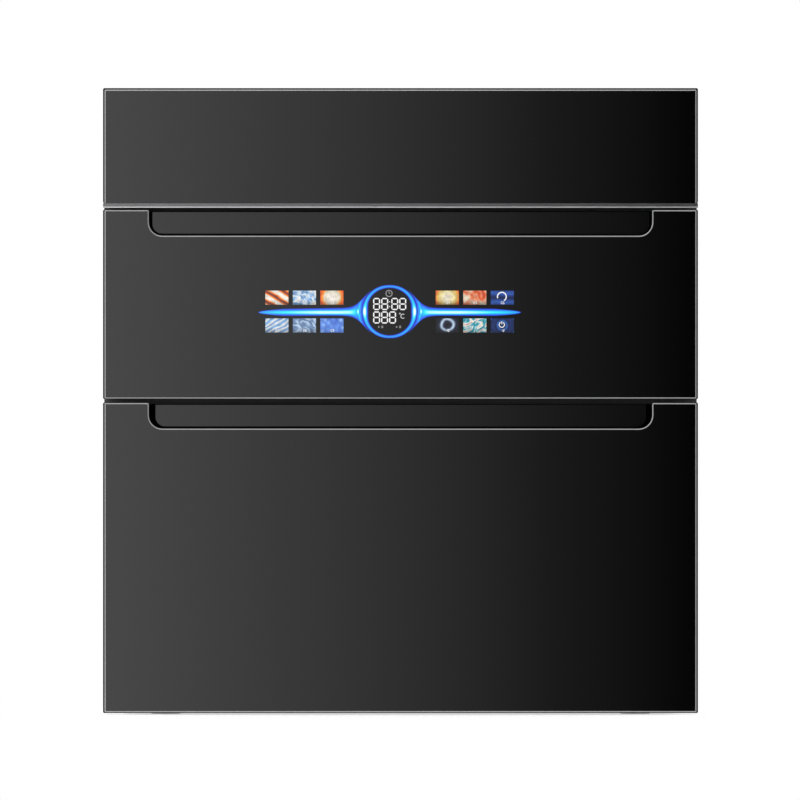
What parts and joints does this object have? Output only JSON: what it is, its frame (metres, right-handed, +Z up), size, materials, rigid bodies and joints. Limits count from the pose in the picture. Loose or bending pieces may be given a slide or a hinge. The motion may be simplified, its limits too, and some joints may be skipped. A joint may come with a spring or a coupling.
{
  "type": "built-in dish sterilizer cabinet",
  "caption": "Built-in cabinet that dries and disinfects dishes, with glass-fronted drawers on ball slides, wire baskets, heater tubes, an ultraviolet lamp and a circulating blower.",
  "frame": {"origin": "middle of the bottom of the box round the whole cabinet, on the floor under the feet", "axes": "+X to the right seen from the front, +Y from the glass fronts to the back, +Z up"},
  "size_m": [0.595, 0.43, 0.626],
  "materials": {
    "tempered_black_glass": "tempered black glass with a polished bevelled edge",
    "pressed_steel": "black powder coat on pressed sheet",
    "galvanised_sheet": "galvanised sheet",
    "stainless_sheet": "brushed stainless sheet",
    "trim_metal": "drawn and anodised strip",
    "cup_plastic": "smooth black moulding",
    "seal_rubber": "soft black rubber",
    "foot_rubber": "hard black rubber",
    "slide_steel": "zinc plated strip",
    "cage_steel": "thin plated strip with polished balls",
    "basket_wire": "bright polished wire",
    "insulation": "pale fibre board",
    "quartz": "milky quartz",
    "lamp_glass": "clear lamp glass",
    "holder_ceramic": "unglazed ceramic",
    "mirror_sheet": "bright rolled sheet",
    "blower_plastic": "fine textured black moulding",
    "impeller_plastic": "white moulding",
    "motor_steel": "plated motor shell",
    "fin_metal": "thin fins",
    "socket_plastic": "white moulding",
    "circuit_board": "green board with dark parts",
    "light_guide_resin": "clear light guide, lit blue",
    "touch_resin": "clear pad behind printed glass",
    "magnet_metal": "nickel plated",
    "gland_plastic": "black moulding",
    "screw_steel": "zinc plated"
  },
  "bodies": {
    "cabinet": {"front_frame": "pressed_steel", "left_side_panel": "galvanised_sheet", "right_side_panel": "galvanised_sheet", "top_cover": "galvanised_sheet", "base_pan": "galvanised_sheet", "rear_cover": "galvanised_sheet", "upper_liner": "stainless_sheet", "lower_liner": "stainless_sheet", "mid_insulation": "insulation", "top_glass": "tempered_black_glass", "top_panel_frame": "pressed_steel", "top_trim_strip": "trim_metal", "power_board": "circuit_board", "ozone_generator": "socket_plastic", "uv_lamp": "lamp_glass", "uv_lamp_sockets": "socket_plastic", "quartz_heaters": "quartz", "heater_holders": "holder_ceramic", "heater_reflector": "mirror_sheet", "heater_guard": "basket_wire", "blower_housing": "blower_plastic", "blower_motor": "motor_steel", "ptc_heater": "fin_metal", "temperature_sensors": "slide_steel", "door_switches": "blower_plastic", "rubber_feet": "foot_rubber", "cable_gland": "gland_plastic", "panel_screws": "screw_steel", "upper_outer_rails": "slide_steel", "lower_outer_rails": "slide_steel"},
    "upper_drawer": {"upper_glass": "tempered_black_glass", "upper_door_pan": "pressed_steel", "upper_handle_cup": "cup_plastic", "upper_door_liner": "stainless_sheet", "upper_gasket": "seal_rubber", "upper_side_brackets": "stainless_sheet", "upper_inner_rails": "slide_steel", "upper_basket": "basket_wire", "display_board": "circuit_board", "light_guide": "light_guide_resin", "touch_pads": "touch_resin", "upper_magnet": "magnet_metal"},
    "lower_drawer": {"lower_glass": "tempered_black_glass", "lower_door_pan": "pressed_steel", "lower_handle_cup": "cup_plastic", "lower_door_liner": "stainless_sheet", "lower_gasket": "seal_rubber", "lower_side_brackets": "stainless_sheet", "lower_inner_rails": "slide_steel", "lower_drip_tray": "stainless_sheet", "lower_basket": "basket_wire", "bowl_rack": "basket_wire", "lower_magnet": "magnet_metal"},
    "blower_wheel": {"blower_impeller": "impeller_plastic"},
    "upper_middle_rails": {"upper_middle_rails": "slide_steel"},
    "upper_outer_cages": {"upper_outer_cages": "cage_steel"},
    "upper_inner_cages": {"upper_inner_cages": "cage_steel"},
    "lower_middle_rails": {"lower_middle_rails": "slide_steel"},
    "lower_outer_cages": {"lower_outer_cages": "cage_steel"},
    "lower_inner_cages": {"lower_inner_cages": "cage_steel"}
  },
  "joints": [
    {"name": "upper_drawer_slide", "type": "slide", "parent": "cabinet", "child": "upper_drawer", "axis": [0, -1, 0], "range_m": [0, 0.3]},
    {"name": "upper_middle_rails_slide", "type": "slide", "parent": "cabinet", "child": "upper_middle_rails", "axis": [0, -1, 0], "range_m": [0, 0.15]},
    {"name": "upper_outer_cages_slide", "type": "slide", "parent": "cabinet", "child": "upper_outer_cages", "axis": [0, -1, 0], "range_m": [0, 0.075]},
    {"name": "upper_inner_cages_slide", "type": "slide", "parent": "cabinet", "child": "upper_inner_cages", "axis": [0, -1, 0], "range_m": [0, 0.225]},
    {"name": "lower_drawer_slide", "type": "slide", "parent": "cabinet", "child": "lower_drawer", "axis": [0, -1, 0], "range_m": [0, 0.3]},
    {"name": "lower_middle_rails_slide", "type": "slide", "parent": "cabinet", "child": "lower_middle_rails", "axis": [0, -1, 0], "range_m": [0, 0.15]},
    {"name": "lower_outer_cages_slide", "type": "slide", "parent": "cabinet", "child": "lower_outer_cages", "axis": [0, -1, 0], "range_m": [0, 0.075]},
    {"name": "lower_inner_cages_slide", "type": "slide", "parent": "cabinet", "child": "lower_inner_cages", "axis": [0, -1, 0], "range_m": [0, 0.225]},
    {"name": "blower_spin", "type": "hinge", "parent": "cabinet", "child": "blower_wheel", "pos_m": [0.14, 0.151, 0.44], "axis": [0, 1, 0], "continuous": true}
  ],
  "couplings": [
    {"joint": "upper_middle_rails_slide", "follows": "upper_drawer_slide", "ratio": 0.5},
    {"joint": "upper_outer_cages_slide", "follows": "upper_drawer_slide", "ratio": 0.25},
    {"joint": "upper_inner_cages_slide", "follows": "upper_drawer_slide", "ratio": 0.75},
    {"joint": "lower_middle_rails_slide", "follows": "lower_drawer_slide", "ratio": 0.5},
    {"joint": "lower_outer_cages_slide", "follows": "lower_drawer_slide", "ratio": 0.25},
    {"joint": "lower_inner_cages_slide", "follows": "lower_drawer_slide", "ratio": 0.75}
  ]
}
